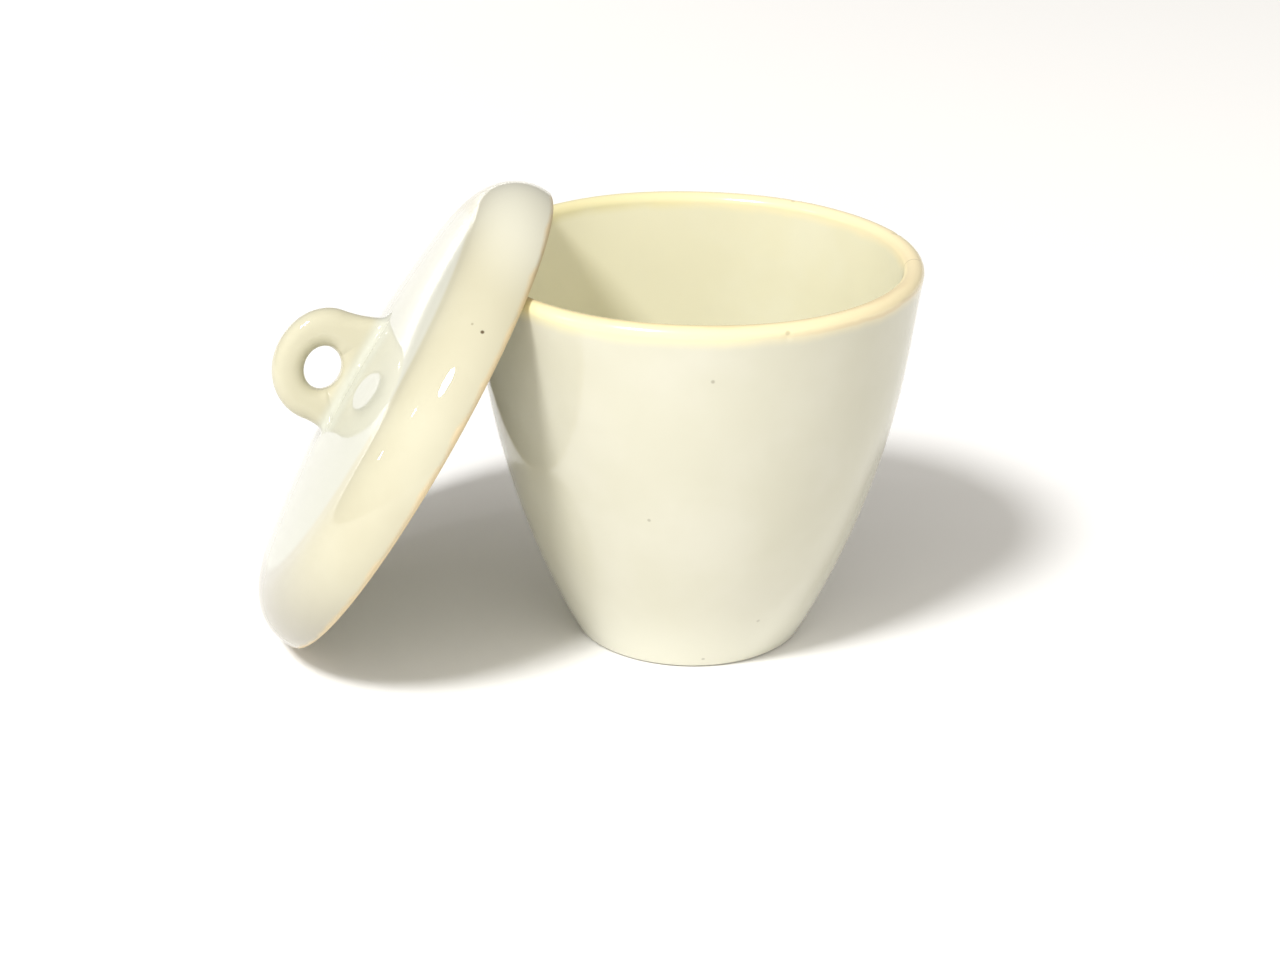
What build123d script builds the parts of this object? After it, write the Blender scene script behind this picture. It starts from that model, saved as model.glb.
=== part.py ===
from build123d import *
from math import asin, atan2, cos, radians, sin, sqrt
import os

# A laboratory crucible of glazed porcelain, standing open, with its lid leaning on its rim.
# Millimetres, +Z up. The origin is the centre of the cup's foot, on the table.
# The lid leans from the -X side of the cup, with its looped handle facing away from the cup.

# cup
rim_diameter = 45.0
cup_height = 40.0
wall = 2.0                  # side wall, which is also the full round of the lip
wall_taper = 7.0            # degrees from vertical, in the straight upper part
taper_bottom = 31.1         # height where the straight taper turns into the belly's curve
belly_radius = 89.1         # outer radius of the curve that brings the wall in to the foot
foot_edge_radius = 0.8
floor_thickness = 3.0
inner_corner_radius = 6.0   # where the inside of the wall meets the floor

# lid, in its own frame: bearing edge at z = 0, axis +Z, top upwards
lid_diameter = 52.7
lid_height = 8.2
crown_radius = 124.0        # the shallow dome of the top
shoulder_radius = 5.6       # the round edge of the top, down to the bearing edge
lid_wall = 1.9
bearing_edge_radius = 0.6

# looped handle on the lid: an ear with an oval eye
eye_width = 4.4
eye_height = 3.6
eye_above_crown = 3.1       # centre of the eye above the top of the crown
ear_width = 11.6            # outside width at the eye
ear_top_rise = 5.0          # top of the ear above the centre of the eye
ear_root_width = 14.8
ear_thickness = 3.3
ear_edge_radius = 1.5
ear_sunk = 2.6              # how far the slab of the ear reaches below the crown's top
root_fillet = 0.7
handle_turn = 15.0          # degrees about the lid's axis
handle_tip = 9.0            # degrees that the hand-set ear tips towards the lid's low side

# how the lid stands
lean = 58.9                 # degrees between the lid's plane and the table
lean_azimuth = 3.7          # degrees, the lid's place turned about the cup's axis
lid_centre_distance = 27.54 # from the cup's axis to the centre of the bearing edge, seen from above


def polar(centre, radius, below):
    """Point of a circle, at an angle in radians below the horizontal."""
    return (centre[0] + radius * cos(below), centre[1] - radius * sin(below))


def make_cup():
    """The cup: a straight taper that curves in to a flat foot, turned about Z."""
    tilt = radians(wall_taper)
    lip = wall / 2
    lip_centre = (rim_diameter / 2 - lip, cup_height - lip)
    top_out = polar(lip_centre, lip, tilt)
    top_in = polar(lip_centre, -lip, tilt)
    lip_top = (lip_centre[0] + lip * sin(tilt), lip_centre[1] + lip * cos(tilt))
    taper_length = (top_out[1] - taper_bottom) / cos(tilt)
    low_out = (top_out[0] - taper_length * sin(tilt), taper_bottom)

    # outer and inner belly are two circles about one centre
    belly_centre = polar(low_out, -belly_radius, tilt)
    inner_radius = belly_radius - wall
    foot_turn = asin(belly_centre[1] / belly_radius)
    floor_turn = asin((belly_centre[1] - floor_thickness) / inner_radius)
    foot_out = polar(belly_centre, belly_radius, foot_turn)
    outer_middle = polar(belly_centre, belly_radius, (tilt + foot_turn) / 2)
    low_in = polar(belly_centre, inner_radius, tilt)
    floor_in = polar(belly_centre, inner_radius, floor_turn)
    inner_middle = polar(belly_centre, inner_radius, (tilt + floor_turn) / 2)

    with BuildSketch(Plane.XZ) as section:
        with BuildLine():
            Line((0, 0), foot_out)
            ThreePointArc(foot_out, outer_middle, low_out)
            Line(low_out, top_out)
            ThreePointArc(top_out, lip_top, top_in)
            Line(top_in, low_in)
            ThreePointArc(low_in, inner_middle, floor_in)
            Line(floor_in, (0, floor_thickness))
            Line((0, floor_thickness), (0, 0))
        make_face()
        foot_corner = section.vertices().sort_by_distance((foot_out[0], 0, 0))[0]
        fillet(foot_corner, foot_edge_radius)
        floor_corner = section.vertices().sort_by_distance((floor_in[0], 0, floor_thickness))[0]
        fillet(floor_corner, inner_corner_radius)
    return revolve(section.sketch, Axis.Z)


def make_cover():
    """The lid without its handle: a shallow dome with a round shoulder, hollow underneath."""
    shoulder_x = lid_diameter / 2 - shoulder_radius
    crown_z = lid_height - crown_radius
    shoulder_z = crown_z + sqrt((crown_radius - shoulder_radius) ** 2 - shoulder_x ** 2)
    shoulder = (shoulder_x, shoulder_z)
    crown = (0, crown_z)
    # turn, below the horizontal, at which the crown's circle touches the shoulder's
    joint = -atan2(shoulder_z - crown_z, shoulder_x)

    def edge_turn(radius):
        """Turn at which a shoulder circle reaches the bearing plane."""
        return asin(shoulder_z / radius)

    inner_crown = crown_radius - lid_wall
    inner_shoulder = shoulder_radius - lid_wall
    out_edge = polar(shoulder, shoulder_radius, edge_turn(shoulder_radius))
    in_edge = polar(shoulder, inner_shoulder, edge_turn(inner_shoulder))
    out_joint = polar(crown, crown_radius, joint)
    in_joint = polar(crown, inner_crown, joint)
    top = (0, lid_height)
    under = (0, lid_height - lid_wall)
    middle = (joint - radians(90)) / 2

    with BuildSketch(Plane.XZ) as section:
        with BuildLine():
            Line(in_edge, out_edge)
            ThreePointArc(out_edge, polar(shoulder, shoulder_radius, joint / 2), out_joint)
            ThreePointArc(out_joint, polar(crown, crown_radius, middle), top)
            Line(top, under)
            ThreePointArc(under, polar(crown, inner_crown, middle), in_joint)
            ThreePointArc(in_joint, polar(shoulder, inner_shoulder, joint / 2), in_edge)
        make_face()
        corners = section.vertices().sort_by_distance((lid_diameter / 2, 0, 0))
        bearing_corners = [corner for corner in corners if abs(corner.Z) < 0.001]
        fillet(bearing_corners, bearing_edge_radius)
    return revolve(section.sketch, Axis.Z)


def make_handle():
    """The looped handle: an ear-shaped slab with an oval eye and well-rounded edges."""
    eye_z = lid_height + eye_above_crown
    root_z = lid_height - ear_sunk
    half_width = ear_width / 2
    half_root = ear_root_width / 2
    with BuildSketch(Plane.XZ) as ear:
        with BuildLine():
            EllipticalCenterArc((0, eye_z), half_width, ear_top_rise, arc_size=180)
            TangentArc((-half_width, eye_z), (-half_root, root_z), tangent=(0, -1))
            Line((-half_root, root_z), (half_root, root_z))
            TangentArc((half_width, eye_z), (half_root, root_z), tangent=(0, -1))
        make_face()
        with Locations((0, eye_z)):
            Ellipse(eye_width / 2, eye_height / 2, mode=Mode.SUBTRACT)
    slab = extrude(ear.sketch, amount=ear_thickness / 2, both=True)
    side_edges = slab.edges().filter_by(Plane.XZ)
    round_edges = [edge for edge in side_edges if edge.center().Z > root_z + 0.1]
    rounded = fillet(round_edges, ear_edge_radius)
    tip_axis = Axis((0, 0, lid_height + eye_above_crown / 2), (0, 1, 0))
    tipped = rounded.rotate(tip_axis, -handle_tip)
    # the slab ends inside the thickness of the crown
    wall_middle = Sphere(crown_radius - lid_wall / 2).translate((0, 0, lid_height - crown_radius))
    return tipped - wall_middle


def is_root_seam(edge):
    """True for the edges where the handle meets the crown's upper surface."""
    crown_z = lid_height - crown_radius
    middle = edge @ 0.5
    from_crown_centre = Vector(middle.X, middle.Y, middle.Z - crown_z).length
    near_handle = Vector(middle.X, middle.Y, 0).length < ear_root_width
    return near_handle and abs(from_crown_centre - crown_radius) < 0.01


def make_lid():
    """Cover and handle as one piece, leaning, with its lowest point on the table."""
    flat_lid = make_cover() + make_handle().rotate(Axis.Z, handle_turn)
    seam = [edge for edge in flat_lid.edges() if is_root_seam(edge)]
    flat_lid = fillet(seam, root_fillet)
    turned = flat_lid.rotate(Axis.Y, -lean)
    stood = turned.translate((-lid_centre_distance, 0, 0)).rotate(Axis.Z, lean_azimuth)
    lowest = stood.bounding_box(optimal=True).min.Z
    return stood.translate((0, 0, -lowest))


os.makedirs("parts", exist_ok=True)
export_step(make_cup(), "parts/crucible_body.step")
export_step(make_lid(), "parts/crucible_lid.step")
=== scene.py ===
from math import atan2, cos, pi, radians, sin, sqrt

import bpy
import numpy as np
from mathutils import Matrix, Vector


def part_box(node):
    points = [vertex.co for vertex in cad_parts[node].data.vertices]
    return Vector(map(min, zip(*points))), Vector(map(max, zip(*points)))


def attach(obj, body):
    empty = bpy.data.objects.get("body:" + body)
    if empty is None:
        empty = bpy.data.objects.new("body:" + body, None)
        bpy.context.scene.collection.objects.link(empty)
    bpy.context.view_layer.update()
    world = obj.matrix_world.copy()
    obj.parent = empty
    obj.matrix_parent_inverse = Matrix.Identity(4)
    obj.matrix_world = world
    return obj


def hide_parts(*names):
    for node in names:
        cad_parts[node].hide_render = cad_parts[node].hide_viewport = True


# A glazed porcelain crucible, open, with its lid leaning on the rim.
# Metres, +Z up, origin at the centre of the foot.

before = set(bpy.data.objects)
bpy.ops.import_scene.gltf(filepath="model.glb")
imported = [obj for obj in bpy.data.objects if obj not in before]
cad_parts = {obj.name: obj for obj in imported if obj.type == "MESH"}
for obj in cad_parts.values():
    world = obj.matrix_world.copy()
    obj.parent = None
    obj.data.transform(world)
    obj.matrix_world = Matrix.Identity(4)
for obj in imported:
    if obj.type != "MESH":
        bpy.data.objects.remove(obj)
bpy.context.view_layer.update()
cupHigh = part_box("crucible_body")[1]
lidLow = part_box("crucible_lid")[0]
print("frame: cup is", round(cupHigh.x * 2000, 1), "mm across,", round(cupHigh.z * 1000, 1), "mm high")

view = {
    "place": (0.0, -0.2367, 0.1163),
    "turn": 1.27,      # degrees to the left of straight ahead
    "dip": 23.08,      # degrees below the horizontal
    "roll": 0.87,
    "lens": 70.3,      # mm
    "sensor": 36.0,    # mm wide
    "nearest": 0.01,   # nothing closer than this is drawn
}


def placeCamera(view):
    # at its place, turned about the upright, dipped below the horizontal and rolled about its own axis
    data = bpy.data.cameras.new("camera")
    data.sensor_width = view["sensor"]
    data.lens = view["lens"]
    data.clip_start = view["nearest"]
    camera = bpy.data.objects.new("camera", data)
    turn = Matrix.Rotation(radians(view["turn"]), 4, "Z")
    dip = Matrix.Rotation(radians(90 - view["dip"]), 4, "X")
    roll = Matrix.Rotation(radians(view["roll"]), 4, "Z")
    camera.matrix_world = Matrix.Translation(view["place"]) @ turn @ dip @ roll
    bpy.context.scene.collection.objects.link(camera)
    bpy.context.scene.camera = camera


placeCamera(view)
print("camera placed")


def circleArc(centre, radius, fromTurn, toTurn, count):
    # centre + radius * (cos, sin) of evenly spaced turns, in radians
    turn = np.linspace(fromTurn, toTurn, count)
    return np.stack([centre[0] + radius * np.cos(turn), centre[1] + radius * np.sin(turn)], 1)


def straightLine(start, end, count):
    # start x (1 - share) + end x share, for evenly spaced shares
    share = np.linspace(0, 1, count)[:, None]
    return np.array(start) * (1 - share) + np.array(end) * share


def joinParts(parts):
    # the parts one after another, each without its last point, which the next one begins with
    return np.concatenate([part[:-1] for part in parts[:-1]] + [parts[-1]])


def ringQuads(rows, columns, closedRows=False):
    # quad (row, column), (row, column + 1), (row + 1, column + 1), (row + 1, column), closed around
    last = rows if closedRows else rows - 1
    row, column = np.meshgrid(np.arange(last), np.arange(columns), indexing="ij")
    right = (column + 1) % columns
    above = (row + 1) % rows
    lower, upper = row * columns, above * columns
    return np.stack([lower + column, lower + right, upper + right, upper + column], -1).reshape(-1, 4)


def turnProfile(profile, columns):
    # every profile point (radius, height) carried round the Z axis; the two ends are single points
    turn = np.linspace(0, 2 * pi, columns, endpoint=False)
    radius, height = profile[1:-1, 0:1], profile[1:-1, 1:2]
    rings = np.stack([radius * np.cos(turn), radius * np.sin(turn), height + 0 * turn], -1)
    return rings, np.array([[0, 0, profile[0, 1]], [0, 0, profile[-1, 1]]])


def makeTurned(name, rings, poles):
    # the rings joined by quads, and a fan of triangles from each pole
    rows, columns = rings.shape[:2]
    points = np.concatenate([rings.reshape(-1, 3), poles])
    quads = ringQuads(rows, columns)
    column = np.arange(columns)
    right = (column + 1) % columns
    first, last = rows * columns, rows * columns + 1
    top = (rows - 1) * columns
    bottomFan = np.stack([np.full(columns, first), right, column], 1)
    topFan = np.stack([np.full(columns, last), top + column, top + right], 1)
    return makeMesh(name, points, quads.tolist() + bottomFan.tolist() + topFan.tolist())


def makeMesh(name, points, faces):
    # one smooth object at the origin from whole arrays of points and faces
    mesh = bpy.data.meshes.new(name)
    mesh.from_pydata(points.tolist(), [], faces)
    mesh.shade_smooth()
    mesh.validate()
    piece = bpy.data.objects.new(name, mesh)
    bpy.context.scene.collection.objects.link(piece)
    return piece


cup = {
    "rimRadius": cupHigh.x,
    "height": cupHigh.z,
    "wall": 0.0020,
    "taper": 7.0,             # degrees from vertical in the upper part
    "taperEnd": 0.0311,       # height where the wall begins to curve in
    "bellyRadius": 0.0891,
    "footRound": 0.0008,
    "floor": 0.0030,
    "floorCorner": 0.0060,
    "outOfRound": 0.00004,    # how far the hand-finished rim leaves a true circle
    "lipWave": 0.00005,       # how far the lip waves below its full height
    "columns": 560,
}
# small losses along the lip: turn in degrees from +X, height, width and depth in metres
lipChips = [
    {"turn": 22, "height": 0.0399, "width": 0.0007, "depth": 0.00018},
    {"turn": 61.7, "height": 0.0398, "width": 0.0006, "depth": 0.00014},
    {"turn": -67.6, "height": 0.0388, "width": 0.0006, "depth": 0.00012},
]


def cupProfile(cup):
    # foot, rounded foot edge, belly arc, straight taper, round lip, and back down the inside
    tilt = radians(cup["taper"])
    lip = cup["wall"] / 2
    lipCentre = (cup["rimRadius"] - lip, cup["height"] - lip)
    topOut = (lipCentre[0] + lip * cos(tilt), lipCentre[1] - lip * sin(tilt))
    topIn = (lipCentre[0] - lip * cos(tilt), lipCentre[1] + lip * sin(tilt))
    run = (topOut[1] - cup["taperEnd"]) / cos(tilt)
    lowOut = (topOut[0] - run * sin(tilt), cup["taperEnd"])
    outer = cup["bellyRadius"]
    inner = outer - cup["wall"]
    belly = (lowOut[0] - outer * cos(tilt), lowOut[1] + outer * sin(tilt))
    lowIn = (belly[0] + inner * cos(tilt), belly[1] - inner * sin(tilt))

    footRound, corner = cup["footRound"], cup["floorCorner"]
    footDip = np.arcsin((belly[1] - footRound) / (outer - footRound))
    footCentre = (belly[0] + (outer - footRound) * cos(footDip), footRound)
    floorDip = np.arcsin((belly[1] - cup["floor"] - corner) / (inner - corner))
    cornerCentre = (belly[0] + (inner - corner) * cos(floorDip), cup["floor"] + corner)
    return joinParts([
        straightLine((0, 0), (footCentre[0], 0), 7),
        circleArc(footCentre, footRound, -pi / 2, -footDip, 9),
        circleArc(belly, outer, -footDip, -tilt, 32),
        straightLine(lowOut, topOut, 18),
        circleArc(lipCentre, lip, -tilt, pi - tilt, 26),
        straightLine(topIn, lowIn, 14),
        circleArc(belly, inner, -tilt, -floorDip, 22),
        circleArc(cornerCentre, corner, -floorDip, -pi / 2, 12),
        straightLine((cornerCentre[0], cup["floor"]), (0, cup["floor"]), 7),
    ])


def waverCup(rings, cup):
    # waves round the rim: sideways they grow with the square of the height,
    # and the lip dips by them with its sixth power, so that only the top of the wall is moved
    turn = np.arctan2(rings[..., 1], rings[..., 0])
    rise = rings[..., 2] / cup["height"]
    sideways = np.sin(2 * turn + 0.6) + 0.5 * np.sin(3 * turn + 2.1)
    swell = 1 + cup["outOfRound"] * sideways * rise ** 2 / cup["rimRadius"]
    rings[..., :2] *= swell[..., None]
    upright = (np.sin(3 * turn + 1.0) + 0.6 * np.sin(7 * turn)) / 1.6
    rings[..., 2] += cup["lipWave"] * (upright - 1) * rise ** 6
    return rings


def chipLip(rings, cup, chips):
    # each chip presses the lip in towards the middle of its round, deepest at the chip's centre
    lip = cup["wall"] / 2
    turn = np.arctan2(rings[..., 1], rings[..., 0])
    middle = np.stack([
        (cup["rimRadius"] - lip) * np.cos(turn),
        (cup["rimRadius"] - lip) * np.sin(turn),
        np.full(turn.shape, cup["height"] - lip),
    ], -1)
    for chip in chips:
        place = radians(chip["turn"])
        off = chip["height"] - (cup["height"] - lip)
        reach = cup["rimRadius"] - lip + sqrt(max(lip ** 2 - off ** 2, 0))
        centre = np.array([reach * cos(place), reach * sin(place), chip["height"]])
        near = np.clip(1 - np.linalg.norm(rings - centre, axis=-1) / chip["width"], 0, 1)
        inward = middle - rings
        inward /= np.maximum(np.linalg.norm(inward, axis=-1), 1e-9)[..., None]
        rings = rings + inward * (chip["depth"] * near ** 1.5)[..., None]
    return rings


def keepLipDistance(piece, profile, columns):
    # distance along the wall from the top of the lip, kept on the mesh: minus outside, plus inside
    along = np.concatenate([[0], np.cumsum(np.linalg.norm(np.diff(profile, axis=0), axis=1))])
    along -= along[profile[:, 1].argmax()]
    values = np.concatenate([np.repeat(along[1:-1], columns), [along[0], along[-1]]])
    kept = piece.data.attributes.new("fromLip", "FLOAT", "POINT")
    kept.data.foreach_set("value", values.astype(np.float32))


profile = cupProfile(cup)
rings, poles = turnProfile(profile, cup["columns"])
rings = chipLip(waverCup(rings, cup), cup, lipChips)
glazedCup = makeTurned("glazedCup", rings, poles)
keepLipDistance(glazedCup, profile, cup["columns"])
print("cup:", len(glazedCup.data.polygons), "faces")


lid = {
    "radius": 0.02635,
    "height": 0.0082,
    "crownRadius": 0.1240,     # the shallow dome
    "shoulderRadius": 0.0056,
    "wall": 0.0019,
    "edgeRound": 0.0006,
    "columns": 380,
    "lean": 58.9,              # degrees from the table
    "swing": 3.7,              # degrees about the cup's axis
    "reach": 0.02754,          # cup axis to the middle of the lid's edge
}
ear = {
    "eyeWidth": 0.0044,
    "eyeHeight": 0.0036,
    "eyeAbove": 0.0031,        # over the crown
    "highHalf": 0.0061,        # half width on the side that points up the lid
    "lowHalf": 0.0055,
    "topRise": 0.0050,
    "highFlare": 0.0004,       # how much wider each leg is at the crown
    "lowFlare": 0.0010,
    "thickness": 0.0033,
    "squareness": 2.5,         # 2 is an oval section, more is flatter
    "rootSquareness": 3.4,     # the same at the crown, where the legs are fuller
    "glazePool": 0.0007,       # radius of the glaze that fills the corner at the crown
    "turn": 15.0,              # degrees about the lid's axis
    "tip": 9.0,                # degrees towards the low side
    "around": 320,             # steps round the eye
    "section": 88,             # steps round the bar
}


def lidProfile(lid):
    # under the crown, down the inner shoulder, round the bearing edge,
    # up the outer shoulder and over the crown
    rise, wall, small = lid["height"], lid["wall"], lid["edgeRound"]
    outer = lid["shoulderRadius"]
    inner = outer - wall
    crown = (0, rise - lid["crownRadius"])
    across = lid["radius"] - outer
    shoulder = (across, crown[1] + sqrt((lid["crownRadius"] - outer) ** 2 - across ** 2))
    joint = atan2(shoulder[1] - crown[1], across)
    innerTurn = np.arcsin((small - shoulder[1]) / (inner + small))
    outerTurn = np.arcsin((small - shoulder[1]) / (outer - small))
    innerEdge = (across + (inner + small) * cos(innerTurn), small)
    outerEdge = (across + (outer - small) * cos(outerTurn), small)
    return joinParts([
        circleArc(crown, lid["crownRadius"] - wall, pi / 2, joint, 40),
        circleArc(shoulder, inner, joint, innerTurn, 22),
        circleArc(innerEdge, small, pi + innerTurn, 3 * pi / 2, 8),
        straightLine((innerEdge[0], 0), (outerEdge[0], 0), 4),
        circleArc(outerEdge, small, -pi / 2, outerTurn, 8),
        circleArc(shoulder, outer, outerTurn, joint, 34),
        circleArc(crown, lid["crownRadius"], joint, pi / 2, 60),
    ])


def earOutline(turn, ear, depth):
    # distance from the middle of the eye to the ear's edge: half an oval above,
    # a flank below whose half width grows with the square of the depth, and a flat base
    across, up = np.cos(turn), np.sin(turn)
    half = np.where(across < 0, ear["lowHalf"], ear["highHalf"])
    flare = np.where(across < 0, ear["lowFlare"], ear["highFlare"])
    oval = 1 / np.sqrt((across / half) ** 2 + (up / ear["topRise"]) ** 2)
    down = np.maximum(-up, 1e-6)
    slope = np.abs(across) / down
    bend = flare / ear["eyeAbove"] ** 2
    inside = slope ** 2 - 4 * bend * half
    flank = (slope - np.sqrt(np.maximum(inside, 0))) / (2 * bend)
    flank = np.where(inside > 0, flank, depth)
    lower = np.minimum(flank, depth) / down
    return np.where(up >= 0, oval, lower)


def earRings(ear, lid):
    # a grid round the eye and round the section: a rounded bar between the eye and the outline
    around = np.linspace(0, 2 * pi, ear["around"], endpoint=False)[:, None]
    section = np.linspace(0, 2 * pi, ear["section"], endpoint=False)[None, :]
    depth = ear["eyeAbove"] + lid["wall"]
    eyeAcross = np.cos(around) / ear["eyeWidth"] * 2
    eyeUp = np.sin(around) / ear["eyeHeight"] * 2
    eye = 1 / np.sqrt(eyeAcross ** 2 + eyeUp ** 2)
    edge = earOutline(around, ear, depth)
    low = np.clip(-edge * np.sin(around) / ear["eyeAbove"], 0, 1)
    power = 2 / (ear["squareness"] + (ear["rootSquareness"] - ear["squareness"]) * low ** 2)
    out = np.sign(np.cos(section)) * np.abs(np.cos(section)) ** power
    side = np.sign(np.sin(section)) * np.abs(np.sin(section)) ** power
    reach = (eye + edge) / 2 + (edge - eye) / 2 * out
    thick = ear["thickness"] / 2 * side + 0 * around
    points = np.stack([reach * np.cos(around), thick, reach * np.sin(around)], -1)

    # tipped about a line half way up to the eye
    points[..., 2] += ear["eyeAbove"] / 2
    tip = -radians(ear["tip"])
    x, z = points[..., 0].copy(), points[..., 2].copy()
    points[..., 0] = x * cos(tip) + z * sin(tip)
    points[..., 2] = -x * sin(tip) + z * cos(tip) + lid["height"] + ear["eyeAbove"] / 2
    return points


def poolGlaze(points, ear, lid):
    # near the crown the bar widens outward by a quarter circle,
    # so that it runs into the crown without a corner
    crownZ = lid["height"] - lid["crownRadius"]
    above = np.linalg.norm(points - np.array([0, 0, crownZ]), axis=-1) - lid["crownRadius"]
    pool = ear["glazePool"]
    left = np.clip(1 - above / pool, 0, 1)
    spread = pool * (1 - np.sqrt(np.maximum(1 - left ** 2, 0)))
    rootHalf = (ear["highHalf"] + ear["highFlare"] + ear["lowHalf"] + ear["lowFlare"]) / 2
    outward = np.stack([points[..., 0] / rootHalf ** 2, points[..., 1] / (ear["thickness"] / 2) ** 2], -1)
    outward /= np.maximum(np.linalg.norm(outward, axis=-1), 1e-9)[..., None]
    points[..., :2] += outward * spread[..., None]
    # the base stays inside the thickness of the lid
    flat = points[..., 0] ** 2 + points[..., 1] ** 2
    base = crownZ + np.sqrt((lid["crownRadius"] - lid["wall"] / 2) ** 2 - flat)
    points[..., 2] = np.maximum(points[..., 2], base)
    return points


def joinSolids(body, extra):
    # the two closed shells become one
    union = body.modifiers.new("union", "BOOLEAN")
    union.operation = "UNION"
    union.solver = "EXACT"
    union.object = extra
    bpy.context.view_layer.update()
    graph = bpy.context.evaluated_depsgraph_get()
    joined = bpy.data.meshes.new_from_object(body.evaluated_get(graph))
    body.modifiers.clear()
    body.data = joined
    body.data.shade_smooth()
    bpy.data.objects.remove(extra)


rings, poles = turnProfile(lidProfile(lid), lid["columns"])
glazedLid = makeTurned("glazedLid", rings, poles)
bar = poolGlaze(earRings(ear, lid), ear, lid)
earQuads = ringQuads(bar.shape[0], bar.shape[1], closedRows=True)[:, ::-1]
earSolid = makeMesh("ear", bar.reshape(-1, 3), earQuads.tolist())
earSolid.data.transform(Matrix.Rotation(radians(ear["turn"]), 4, "Z"))
joinSolids(glazedLid, earSolid)

# leant over, moved out to the side and swung round the cup, then lifted so that it stands on the table
leanOver = Matrix.Rotation(-radians(lid["lean"]), 4, "Y")
moveOut = Matrix.Translation((-lid["reach"], 0, 0))
lidPlace = Matrix.Rotation(radians(lid["swing"]), 4, "Z") @ moveOut @ leanOver
glazedLid.data.transform(lidPlace)
places = np.empty(len(glazedLid.data.vertices) * 3)
glazedLid.data.vertices.foreach_get("co", places)
lift = lidLow.z - places[2::3].min()
glazedLid.data.transform(Matrix.Translation((0, 0, lift)))
lidCentre = Matrix.Translation((0, 0, lift)) @ lidPlace
print("lid:", len(glazedLid.data.polygons), "faces")


cupGlaze = {
    "body": (0.595, 0.58, 0.465),
    "pale": (0.625, 0.61, 0.505),
    # painted light: the inside is a lighter, warmer copy of the body glaze
    "inside": (0.71, 0.685, 0.51),
    "insidePale": (0.72, 0.70, 0.54),
    "insidePaintedLight": (0.90, 0.87, 0.66),  # painted light: the wall on the lid's side, in the lid's shadow, made lighter
    # painted light: paler towards the foot, for light bounced up from the floor
    "footPaintedBounce": (0.70, 0.69, 0.58),
    "lipCream": (0.79, 0.73, 0.43),     # the lip on the lid's side
    "lipWarm": (0.84, 0.73, 0.47),      # the lip on the other side
    "lipTan": (0.66, 0.50, 0.28),       # thin glaze on the inner edge and along the foot of the band
    "speck": (0.12, 0.09, 0.05),
    "bandOutside": -0.0028,             # reach of the lip's band, along the wall from the lip's top
    "bandInside": 0.0026,
    "bandUneven": 0.0009,               # how raggedly the band ends
    "innerEdge": 0.5,                   # share of tan on the inner edge
    "bandFoot": 0.35,                   # share of tan along the band's foot
    "crackTurn": -1.0,                  # degrees from +X, a hairline across the lip
    "crackWidth": 0.0001,
    "roughness": 0.05,
    "cloudRoughness": 0.04,             # added where the glaze is paler
    "bandRoughness": 0.12,              # added on the lip's band
    "ior": 1.55,
    "ripple": 0.03,
    "rippleScale": 420.0,
    "rippleDepth": 0.0004,
}
lidGlaze = {
    "body": (0.53, 0.50, 0.365),
    "pale": (0.555, 0.53, 0.395),
    "topEndPaintedLight": (0.66, 0.645, 0.53),  # painted light: paler where the lid is highest
    "lowEndPaintedShade": (0.40, 0.38, 0.315),  # painted shade: darker where the lid meets the table
    "crown": (0.54, 0.545, 0.46),   # painted reflection: whiter on the flat of the dome, for the pale floor it mirrors
    # painted reflection: the crown lighter still towards the top end
    "crownHighPaintedReflection": (0.61, 0.61, 0.525),
    "bare": (0.66, 0.53, 0.32),     # bearing edge, where the glaze was wiped off
    "speck": (0.08, 0.05, 0.02),
    "crownEdge": 0.0212,            # the crown's painted reflection ends here, from the lid's axis
    "bareHeight": 0.0008,
    "bareUneven": 0.0010,
    "roughness": 0.03,
    "bareRoughness": 0.5,
    "ior": 1.6,
    "ripple": 0.008,
    "rippleScale": 420.0,
    "rippleDepth": 0.0004,
}
# iron specks in the glaze: turn in degrees from +X, distance from the axis, height and size in metres
cupSpecks = [
    {"turn": -85.3, "reach": 0.02198, "height": 0.0347, "size": 0.00026, "strength": 0.39},
    {"turn": -101.7, "reach": 0.01926, "height": 0.0193, "size": 0.00024, "strength": 0.35},
    {"turn": -61.2, "reach": 0.01459, "height": 0.0059, "size": 0.00026, "strength": 0.24},
    {"turn": -82.3, "reach": 0.01236, "height": 0.0012, "size": 0.00024, "strength": 0.35},
    {"turn": 22.0, "reach": 0.02215, "height": 0.0397, "size": 0.00040, "strength": 0.24},
    {"turn": 61.7, "reach": 0.02130, "height": 0.0400, "size": 0.00034, "strength": 0.24},
    {"turn": -67.6, "reach": 0.02249, "height": 0.0392, "size": 0.00036, "strength": 0.28},
]
lidSpecks = [
    {"turn": -48.0, "reach": 0.02604, "height": 0.0026, "size": 0.00025, "strength": 0.95},
    {"turn": -47.0, "reach": 0.02555, "height": 0.0037, "size": 0.00018, "strength": 0.35},
]


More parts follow.
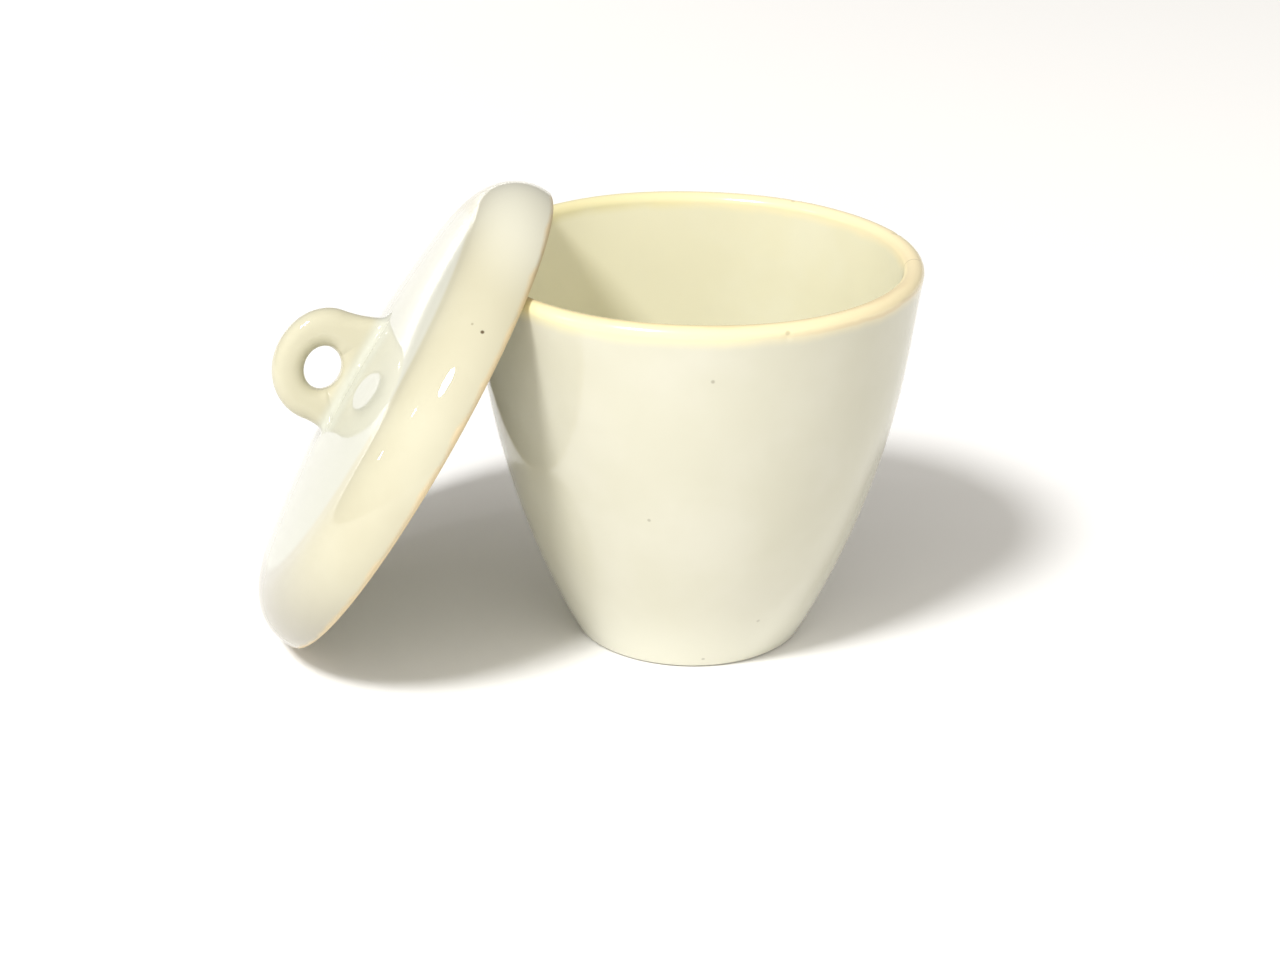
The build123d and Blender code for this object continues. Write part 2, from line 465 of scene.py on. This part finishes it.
class Nodes:
    # short calls for a material's node tree
    def __init__(self, name):
        self.material = bpy.data.materials.new(name)
        self.material.use_nodes = True
        self.tree = self.material.node_tree
        self.shader = self.tree.nodes["Principled BSDF"]
        self.place = self.tree.nodes.new("ShaderNodeTexCoord").outputs["Object"]

    def put(self, socket, value):
        # a link where the value comes from a node, and otherwise a constant
        if isinstance(value, bpy.types.NodeSocket):
            self.tree.links.new(value, socket)
        elif isinstance(value, tuple) and len(value) == 3 and socket.type == "RGBA":
            socket.default_value = (*value, 1)
        else:
            socket.default_value = value

    def math(self, operation, first, second=0.0):
        node = self.tree.nodes.new("ShaderNodeMath")
        node.operation = operation
        self.put(node.inputs[0], first)
        self.put(node.inputs[1], second)
        return node.outputs[0]

    def times(self, first, second):
        return self.math("MULTIPLY", first, second)

    def vector(self, operation, first, second):
        node = self.tree.nodes.new("ShaderNodeVectorMath")
        node.operation = operation
        self.put(node.inputs[0], first)
        self.put(node.inputs[1], second)
        return node.outputs["Value"]

    def split(self, vector):
        node = self.tree.nodes.new("ShaderNodeSeparateXYZ")
        self.put(node.inputs[0], vector)
        return node.outputs

    def attribute(self, name):
        node = self.tree.nodes.new("ShaderNodeAttribute")
        node.attribute_name = name
        return node.outputs["Fac"]

    def noise(self, vector, scale, detail=2.0):
        node = self.tree.nodes.new("ShaderNodeTexNoise")
        self.put(node.inputs["Vector"], vector)
        self.put(node.inputs["Scale"], scale)
        self.put(node.inputs["Detail"], detail)
        return node.outputs["Fac"]

    def fade(self, value, low, high, start=0.0, end=1.0):
        # smooth step from start at low to end at high
        node = self.tree.nodes.new("ShaderNodeMapRange")
        node.interpolation_type = "SMOOTHSTEP"
        for socket, number in zip(node.inputs, (value, low, high, start, end)):
            self.put(socket, number)
        return node.outputs[0]

    def mix(self, share, first, second):
        # first x (1 - share) + second x share
        node = self.tree.nodes.new("ShaderNodeMix")
        node.data_type = "RGBA"
        self.put(node.inputs[0], share)
        self.put(node.inputs[6], first)
        self.put(node.inputs[7], second)
        return node.outputs[2]

    def bump(self, height, strength, distance):
        node = self.tree.nodes.new("ShaderNodeBump")
        self.put(node.inputs["Height"], height)
        self.put(node.inputs["Strength"], strength)
        self.put(node.inputs["Distance"], distance)
        return node.outputs["Normal"]


def addSpecks(n, place, colour, specks, tone):
    # a small soft round spot of the tone at each speck's place
    for speck in specks:
        turn = radians(speck["turn"])
        centre = (speck["reach"] * cos(turn), speck["reach"] * sin(turn), speck["height"])
        away = n.vector("DISTANCE", place, centre)
        spot = n.fade(away, speck["size"], speck["size"] * 0.4, 0.0, speck["strength"])
        colour = n.mix(spot, colour, tone)
    return colour


def finishGlaze(n, glaze, colour, rough):
    # clear glaze over the colour, with a fine ripple
    n.put(n.shader.inputs["Base Color"], colour)
    n.put(n.shader.inputs["Roughness"], rough)
    n.put(n.shader.inputs["IOR"], glaze["ior"])
    ripple = n.noise(n.place, glaze["rippleScale"])
    n.put(n.shader.inputs["Normal"], n.bump(ripple, glaze["ripple"], glaze["rippleDepth"]))
    return n.material


def glazeCup(glaze):
    # cloudy body colour outside; warmer inside and lighter as painted light, with more painted light
    # on the wall on the lid's side; paler at the foot as painted bounce light; over it the lip's band
    # with its tan edges, the hairline and the specks
    n = Nodes("cup glaze")
    x, y, z = n.split(n.place)
    fromLip = n.attribute("fromLip")
    uneven = n.times(n.math("SUBTRACT", n.noise(n.place, 240.0, 3.0), 0.5), glaze["bandUneven"])
    wall = n.math("ADD", fromLip, uneven)
    cloud = n.noise(n.place, 90.0, 3.0)
    colour = n.mix(n.fade(cloud, 0.35, 0.7), glaze["body"], glaze["pale"])
    cloudInside = n.noise(n.place, 130.0, 4.0)
    inside = n.mix(n.fade(cloudInside, 0.35, 0.65), glaze["inside"], glaze["insidePale"])
    # painted light: the inside wall on the lid's side made lighter
    inside = n.mix(n.fade(x, 0.004, -0.016), inside, glaze["insidePaintedLight"])
    # painted bounce light: paler towards the foot
    colour = n.mix(n.fade(z, 0.010, 0.001), colour, glaze["footPaintedBounce"])
    colour = n.mix(n.fade(fromLip, 0.0008, 0.0020), colour, inside)

    outerFade = n.fade(wall, glaze["bandOutside"], -0.0009)
    innerFade = n.fade(wall, glaze["bandInside"], 0.0011)
    band = n.times(outerFade, innerFade)
    lip = n.mix(n.fade(x, -0.012, 0.020), glaze["lipCream"], glaze["lipWarm"])
    colour = n.mix(band, colour, lip)
    innerEdge = n.times(n.fade(wall, -0.0005, 0.0002), n.fade(wall, 0.0015, 0.0009))
    innerEdge = n.times(innerEdge, n.fade(y, -0.002, -0.014, 0.15, 1.0))
    colour = n.mix(n.times(innerEdge, glaze["innerEdge"]), colour, glaze["lipTan"])
    bandFoot = n.times(n.fade(wall, -0.0019, -0.0016), n.fade(wall, -0.0012, -0.0015))
    bandFoot = n.times(bandFoot, n.fade(x, 0.002, 0.016))
    colour = n.mix(n.times(bandFoot, glaze["bandFoot"]), colour, glaze["lipTan"])

    # the hairline wanders a little to each side of an upright plane through the axis
    crackTurn = radians(glaze["crackTurn"])
    fromCrack = n.vector("DOT_PRODUCT", n.place, (-sin(crackTurn), cos(crackTurn), 0.0))
    fromCrack = n.math("ABSOLUTE", n.math("ADD", fromCrack, n.times(uneven, 0.3)))
    crack = n.fade(fromCrack, glaze["crackWidth"], glaze["crackWidth"] * 0.3, 0.0, 0.4)
    crack = n.times(crack, n.fade(x, 0.0, 0.010))
    acrossLip = n.times(n.fade(wall, -0.0008, -0.0003), n.fade(wall, 0.0020, 0.0014))
    colour = n.mix(n.times(crack, acrossLip), colour, glaze["speck"])
    colour = addSpecks(n, n.place, colour, cupSpecks, glaze["speck"])

    rough = n.fade(cloud, 0.3, 0.7, glaze["roughness"], glaze["roughness"] + glaze["cloudRoughness"])
    rough = n.math("ADD", rough, n.times(band, glaze["bandRoughness"]))
    return finishGlaze(n, glaze, colour, rough)


def glazeLid(glaze):
    # as the cup's body colour, in the lid's own upright place: a painted reflection whitening the crown,
    # painted light on the top end, painted shade on the low end and a bare bearing edge
    n = Nodes("lid glaze")
    flat = n.tree.nodes.new("ShaderNodeMapping")
    flat.vector_type = "TEXTURE"
    n.put(flat.inputs["Vector"], n.place)
    flat.inputs["Location"].default_value = lidCentre.translation
    flat.inputs["Rotation"].default_value = lidCentre.to_euler("XYZ")
    local = flat.outputs["Vector"]
    x, y, z = n.split(local)
    cloud = n.noise(n.place, 110.0, 3.0)
    colour = n.mix(n.fade(cloud, 0.35, 0.7), glaze["body"], glaze["pale"])
    # painted light: paler towards the top end
    colour = n.mix(n.fade(x, 0.0195, 0.0255), colour, glaze["topEndPaintedLight"])
    # painted shade: darker towards the low end
    colour = n.mix(n.fade(x, -0.006, -0.022), colour, glaze["lowEndPaintedShade"])

    # painted reflection on the crown, lighter towards the top end
    fromAxis = n.math("SQRT", n.math("ADD", n.times(x, x), n.times(y, y)))
    withinCrown = n.fade(fromAxis, glaze["crownEdge"], glaze["crownEdge"] - 0.0012)
    onCrown = n.fade(z, lid["height"] + 0.0014, lid["height"] + 0.0002)
    crown = n.mix(n.fade(x, 0.001, 0.013), glaze["crown"], glaze["crownHighPaintedReflection"])
    colour = n.mix(n.times(withinCrown, onCrown), colour, crown)

    uneven = n.times(n.math("SUBTRACT", n.noise(n.place, 300.0, 3.0), 0.5), glaze["bareUneven"])
    bare = n.fade(n.math("ADD", z, uneven), glaze["bareHeight"], glaze["bareHeight"] - 0.0006)
    colour = n.mix(bare, colour, glaze["bare"])
    colour = addSpecks(n, local, colour, lidSpecks, glaze["speck"])
    rough = n.fade(bare, 0.0, 1.0, glaze["roughness"], glaze["bareRoughness"])
    return finishGlaze(n, glaze, colour, rough)


for piece, node, slot, glaze in (
    (glazedCup, "crucible_body", "body_glaze", glazeCup(cupGlaze)),
    (glazedLid, "crucible_lid", "lid_glaze", glazeLid(lidGlaze)),
):
    piece.data.materials.clear()
    piece.data.materials.append(glaze)
    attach(piece, "root")
    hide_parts(node)
print("glazes and places done")


studio = {
    "floorSize": 3.0,
    "floorColour": (0.93, 0.925, 0.92),
    "floorRoughness": 0.9,
    "floorShine": 0.1,
    "worldColour": (1.0, 0.965, 0.90),
    "worldStrength": 0.375,
    "glowTowards": (-0.10, -0.93, 0.33),   # the brighter side of the room
    "glowStrength": 0.75,
}
# towards: direction from the cup; aim: where the lamp points
lamps = [
    {"name": "key", "towards": (-0.45, -0.66, 1.0), "distance": 1.3,
     "size": 0.26, "power": 14.2, "aim": (0, 0, 0), "spread": 180},
    {"name": "left lamp", "towards": (-0.78, -0.25, 0.58), "distance": 1.3,
     "size": 0.06, "power": 0.6, "aim": (0, 0, 0), "spread": 180},
    {"name": "low lamp", "towards": (-0.95, 0.0, 0.32), "distance": 1.3,
     "size": 0.05, "power": 0.35, "aim": (0, 0, 0), "spread": 180},
    {"name": "floor wash", "towards": (-0.45, 0.62, 0.55), "distance": 0.95,
     "size": 0.5, "power": 1.2, "aim": (-0.45, 0.62, 0), "spread": 75},
]


def layFloor(studio):
    # one pale matt square under the cup, its middle at the origin
    half = studio["floorSize"] / 2
    corners = [(-half, -half, 0), (half, -half, 0), (half, half, 0), (-half, half, 0)]
    mesh = bpy.data.meshes.new("floor")
    mesh.from_pydata(corners, [], [(0, 1, 2, 3)])
    floor = bpy.data.objects.new("floor", mesh)
    bpy.context.scene.collection.objects.link(floor)
    n = Nodes("floor paper")
    n.put(n.shader.inputs["Base Color"], studio["floorColour"])
    n.put(n.shader.inputs["Roughness"], studio["floorRoughness"])
    n.put(n.shader.inputs["Specular IOR Level"], studio["floorShine"])
    floor.data.materials.append(n.material)


def hangLamp(lamp):
    # a round lamp at its distance from the cup, turned to face what it is aimed at
    data = bpy.data.lights.new(lamp["name"], "AREA")
    data.shape = "DISK"
    data.size = lamp["size"]
    data.energy = lamp["power"]
    data.spread = radians(lamp["spread"])
    light = bpy.data.objects.new(lamp["name"], data)
    towards = Vector(lamp["towards"]).normalized()
    light.location = towards * lamp["distance"]
    light.rotation_euler = (light.location - Vector(lamp["aim"])).to_track_quat("Z", "Y").to_euler()
    bpy.context.scene.collection.objects.link(light)


def lightRoom(studio):
    # even light from all round, and one broad brighter side:
    # strength = even + glow x smooth step of how nearly a direction faces the bright side
    world = bpy.data.worlds.new("studio")
    world.use_nodes = True
    tree = world.node_tree
    room = tree.nodes["Background"]
    room.inputs["Color"].default_value = (*studio["worldColour"], 1)
    direction = tree.nodes.new("ShaderNodeTexCoord")
    facing = tree.nodes.new("ShaderNodeVectorMath")
    facing.operation = "DOT_PRODUCT"
    facing.inputs[1].default_value = Vector(studio["glowTowards"]).normalized()
    strength = tree.nodes.new("ShaderNodeMapRange")
    strength.interpolation_type = "SMOOTHSTEP"
    low = studio["worldStrength"]
    for socket, number in zip(strength.inputs[1:5], (0.1, 1.0, low, low + studio["glowStrength"])):
        socket.default_value = number
    tree.links.new(direction.outputs["Generated"], facing.inputs[0])
    tree.links.new(facing.outputs["Value"], strength.inputs["Value"])
    tree.links.new(strength.outputs["Result"], room.inputs["Strength"])
    bpy.context.scene.world = world


layFloor(studio)
for lamp in lamps:
    hangLamp(lamp)
lightRoom(studio)
bpy.context.scene.view_settings.view_transform = "Standard"
print("floor and light done")
